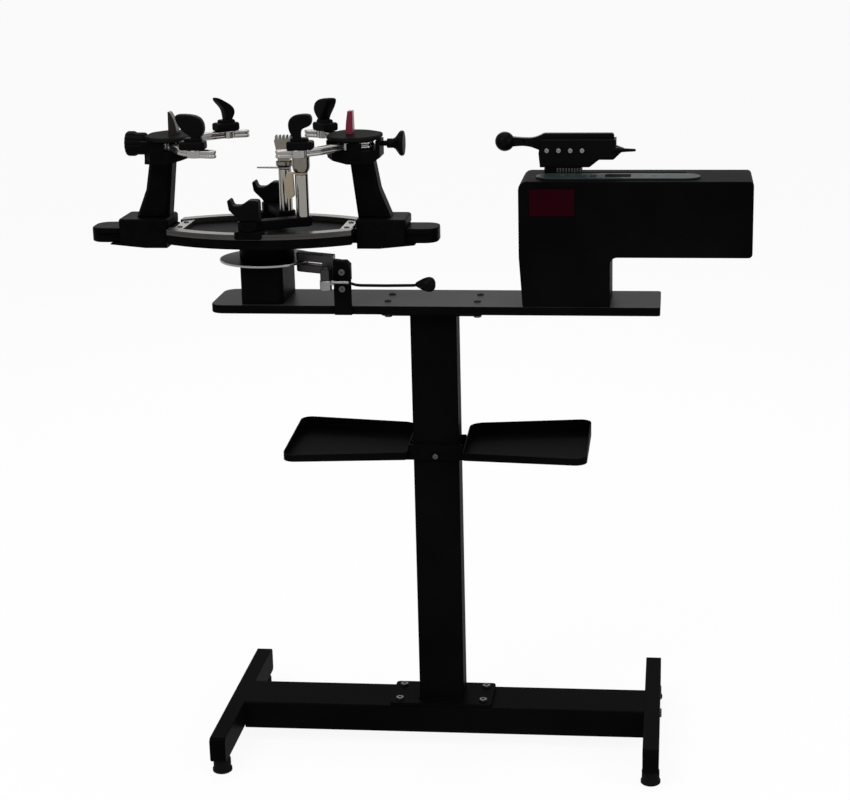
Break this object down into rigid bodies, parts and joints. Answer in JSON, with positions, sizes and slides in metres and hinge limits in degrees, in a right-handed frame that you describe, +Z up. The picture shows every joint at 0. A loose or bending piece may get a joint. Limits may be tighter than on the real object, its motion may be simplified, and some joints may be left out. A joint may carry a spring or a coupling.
{
  "type": "racket stringing machine",
  "caption": "Upright electronic stringing machine for badminton rackets: turntable with mounting towers and string clamps on a column stand, and a tension head with a gripper.",
  "frame": {"origin": "centre of the bounding box, on the floor", "axes": "+X towards the tension head, +Y towards the back, +Z up"},
  "size_m": [0.984, 0.361, 1.0015],
  "materials": {
    "stand_paint": "satin black",
    "beam_paint": "gloss black",
    "casting": "satin black",
    "steel": "satin",
    "aluminium": "satin",
    "chrome": "polished",
    "plastic": "satin black",
    "panel_plastic": "satin",
    "window_plastic": "gloss",
    "red_anodised": "satin red",
    "red_plastic": "gloss red",
    "tan_plastic": "matte"
  },
  "bodies": {
    "base": {"foot_left": "stand_paint", "foot_right": "stand_paint", "cross_beam": "stand_paint", "column": "stand_paint", "top_beam": "beam_paint", "tray_left": "stand_paint", "tray_right": "stand_paint", "tray_bracket": "stand_paint", "pedestal": "casting", "turntable_bearing": "steel", "brake_bracket": "casting", "brake_caliper": "aluminium", "head_housing": "stand_paint", "head_back_cover": "stand_paint", "control_panel": "panel_plastic", "indicator_window": "window_plastic", "power_inlet": "plastic", "guide_frame": "aluminium", "tension_motor": "steel"},
    "turntable": {"brake_disc": "aluminium", "turntable_hub": "casting", "turntable": "casting", "rail_front": "aluminium", "rail_back": "aluminium"},
    "tower_left": {"tower_left": "casting", "head_cover_left": "casting", "centre_support_left": "aluminium"},
    "tower_right": {"tower_right": "casting", "head_cover_right": "casting", "centre_support_right": "red_anodised"},
    "knob_left": {"knob_left": "plastic"},
    "knob_right": {"knob_right": "plastic"},
    "arm_left_front": {"arm_left_front": "chrome"},
    "arm_left_back": {"arm_left_back": "chrome"},
    "arm_right_front": {"arm_right_front": "chrome"},
    "arm_right_back": {"arm_right_back": "chrome"},
    "adaptor_left_front": {"adaptor_left_front": "plastic"},
    "adaptor_left_back": {"adaptor_left_back": "plastic"},
    "adaptor_right_front": {"adaptor_right_front": "plastic"},
    "adaptor_right_back": {"adaptor_right_back": "plastic"},
    "clamp_slider_front": {"clamp_slider_front": "casting"},
    "clamp_slider_back": {"clamp_slider_back": "casting"},
    "clamp_lock_front": {"clamp_lock_front": "plastic"},
    "clamp_lock_back": {"clamp_lock_back": "plastic"},
    "clamp_arm_front": {"clamp_arm_front": "chrome"},
    "clamp_arm_back": {"clamp_arm_back": "chrome"},
    "clamp_jaw_front": {"clamp_jaw_front": "aluminium"},
    "clamp_jaw_back": {"clamp_jaw_back": "aluminium"},
    "clamp_lever_front": {"clamp_lever_front": "tan_plastic"},
    "clamp_lever_back": {"clamp_lever_back": "aluminium"},
    "brake_lever": {"brake_lever": "chrome"},
    "carriage": {"carriage": "aluminium", "gripper_body": "plastic"},
    "gripper_lever": {"gripper_lever": "plastic"},
    "lead_screw": {"lead_screw": "steel"},
    "power_switch": {"power_switch": "red_plastic"},
    "button_1": {"button_1": "plastic"},
    "button_2": {"button_2": "plastic"},
    "button_3": {"button_3": "plastic"},
    "button_4": {"button_4": "plastic"}
  },
  "joints": [
    {"name": "turntable_spin", "type": "hinge", "parent": "base", "child": "turntable", "pos_m": [-0.23, 0, 0.77], "axis": [0, 0, 1], "continuous": true},
    {"name": "tower_left_slide", "type": "slide", "parent": "turntable", "child": "tower_left", "axis": [-1, 0, 0], "range_m": [0, 0.03]},
    {"name": "tower_right_slide", "type": "slide", "parent": "turntable", "child": "tower_right", "axis": [1, 0, 0], "range_m": [0, 0.03]},
    {"name": "arm_left_front_swing", "type": "hinge", "parent": "tower_left", "child": "arm_left_front", "pos_m": [-0.36, -0.032, 0.944], "axis": [0, 0, 1], "range_deg": [-8, 8]},
    {"name": "arm_left_back_swing", "type": "hinge", "parent": "tower_left", "child": "arm_left_back", "pos_m": [-0.36, 0.032, 0.944], "axis": [0, 0, 1], "range_deg": [-8, 8]},
    {"name": "arm_right_front_swing", "type": "hinge", "parent": "tower_right", "child": "arm_right_front", "pos_m": [-0.1, -0.032, 0.944], "axis": [0, 0, 1], "range_deg": [-8, 8]},
    {"name": "arm_right_back_swing", "type": "hinge", "parent": "tower_right", "child": "arm_right_back", "pos_m": [-0.1, 0.032, 0.944], "axis": [0, 0, 1], "range_deg": [-8, 8]},
    {"name": "knob_left_turn", "type": "hinge", "parent": "tower_left", "child": "knob_left", "pos_m": [-0.417, 0, 0.944], "axis": [1, 0, 0], "range_deg": [-165, 165]},
    {"name": "knob_right_turn", "type": "hinge", "parent": "tower_right", "child": "knob_right", "pos_m": [-0.043, 0, 0.944], "axis": [1, 0, 0], "range_deg": [-165, 165]},
    {"name": "adaptor_left_front_swivel", "type": "hinge", "parent": "arm_left_front", "child": "adaptor_left_front", "pos_m": [-0.305, -0.105, 0.95], "axis": [0, 0, 1], "range_deg": [-30, 30]},
    {"name": "adaptor_left_back_swivel", "type": "hinge", "parent": "arm_left_back", "child": "adaptor_left_back", "pos_m": [-0.305, 0.105, 0.95], "axis": [0, 0, 1], "range_deg": [-30, 30]},
    {"name": "adaptor_right_front_swivel", "type": "hinge", "parent": "arm_right_front", "child": "adaptor_right_front", "pos_m": [-0.155, -0.105, 0.95], "axis": [0, 0, 1], "range_deg": [-30, 30]},
    {"name": "adaptor_right_back_swivel", "type": "hinge", "parent": "arm_right_back", "child": "adaptor_right_back", "pos_m": [-0.155, 0.105, 0.95], "axis": [0, 0, 1], "range_deg": [-30, 30]},
    {"name": "clamp_front_travel", "type": "hinge", "parent": "turntable", "child": "clamp_slider_front", "pos_m": [-0.23, 0.155, 0.82], "axis": [0, 0, 1], "range_deg": [-4, 4]},
    {"name": "clamp_back_travel", "type": "hinge", "parent": "turntable", "child": "clamp_slider_back", "pos_m": [-0.23, -0.155, 0.82], "axis": [0, 0, 1], "range_deg": [-4, 4]},
    {"name": "clamp_lock_front_turn", "type": "hinge", "parent": "clamp_slider_front", "child": "clamp_lock_front", "pos_m": [-0.236, -0.08593, 0.86], "axis": [0, 0, 1], "range_deg": [0, 50]},
    {"name": "clamp_lock_back_turn", "type": "hinge", "parent": "clamp_slider_back", "child": "clamp_lock_back", "pos_m": [-0.236, 0.08593, 0.86], "axis": [0, 0, 1], "range_deg": [-50, 0]},
    {"name": "clamp_arm_front_swing", "type": "hinge", "parent": "clamp_slider_front", "child": "clamp_arm_front", "pos_m": [-0.236, -0.08593, 0.836], "axis": [0, 0, 1], "range_deg": [-10, 10]},
    {"name": "clamp_arm_back_swing", "type": "hinge", "parent": "clamp_slider_back", "child": "clamp_arm_back", "pos_m": [-0.236, 0.08593, 0.836], "axis": [0, 0, 1], "range_deg": [-10, 10]},
    {"name": "clamp_jaw_front_swivel", "type": "hinge", "parent": "clamp_arm_front", "child": "clamp_jaw_front", "pos_m": [-0.16412, -0.04442, 0.92], "axis": [0, 0, 1], "range_deg": [-20, 20]},
    {"name": "clamp_jaw_back_swivel", "type": "hinge", "parent": "clamp_arm_back", "child": "clamp_jaw_back", "pos_m": [-0.19961, 0.01132, 0.92], "axis": [0, 0, 1], "range_deg": [-20, 20]},
    {"name": "clamp_lever_front_turn", "type": "hinge", "parent": "clamp_arm_front", "child": "clamp_lever_front", "pos_m": [-0.16412, -0.04442, 0.906], "axis": [0, 0, 1], "range_deg": [-20, 20]},
    {"name": "clamp_lever_back_turn", "type": "hinge", "parent": "clamp_arm_back", "child": "clamp_lever_back", "pos_m": [-0.19961, 0.01132, 0.906], "axis": [0, 0, 1], "range_deg": [-20, 20]},
    {"name": "brake_lever_turn", "type": "hinge", "parent": "base", "child": "brake_lever", "pos_m": [-0.129, -0.072, 0.746], "axis": [0, 0, 1], "range_deg": [-70, 0]},
    {"name": "carriage_travel", "type": "slide", "parent": "base", "child": "carriage", "axis": [1, 0, 0], "range_m": [0, 0.15]},
    {"name": "lead_screw_turn", "type": "hinge", "parent": "base", "child": "lead_screw", "pos_m": [0.29, 0.028, 0.858], "axis": [1, 0, 0], "continuous": true},
    {"name": "gripper_lever_lift", "type": "hinge", "parent": "carriage", "child": "gripper_lever", "pos_m": [0.278, 0.028, 0.943], "axis": [0, 1, 0], "range_deg": [0, 35]},
    {"name": "power_switch_rock", "type": "hinge", "parent": "base", "child": "power_switch", "pos_m": [0.2465, 0.055, 0.75], "axis": [1, 0, 0], "range_deg": [-6, 6]},
    {"name": "button_1_press", "type": "slide", "parent": "base", "child": "button_1", "axis": [0, 0, -1], "range_m": [0, 0.0008], "stiffness_N_per_m": 300},
    {"name": "button_2_press", "type": "slide", "parent": "base", "child": "button_2", "axis": [0, 0, -1], "range_m": [0, 0.0008], "stiffness_N_per_m": 300},
    {"name": "button_3_press", "type": "slide", "parent": "base", "child": "button_3", "axis": [0, 0, -1], "range_m": [0, 0.0008], "stiffness_N_per_m": 300},
    {"name": "button_4_press", "type": "slide", "parent": "base", "child": "button_4", "axis": [0, 0, -1], "range_m": [0, 0.0008], "stiffness_N_per_m": 300}
  ],
  "couplings": [
    {"joint": "arm_left_back_swing", "follows": "arm_left_front_swing", "ratio": -1},
    {"joint": "arm_right_back_swing", "follows": "arm_right_front_swing", "ratio": -1},
    {"joint": "knob_left_turn", "follows": "arm_left_front_swing", "ratio": 20},
    {"joint": "knob_right_turn", "follows": "arm_right_front_swing", "ratio": 20},
    {"joint": "lead_screw_turn", "follows": "carriage_travel", "rad_per_m": 314.16}
  ]
}
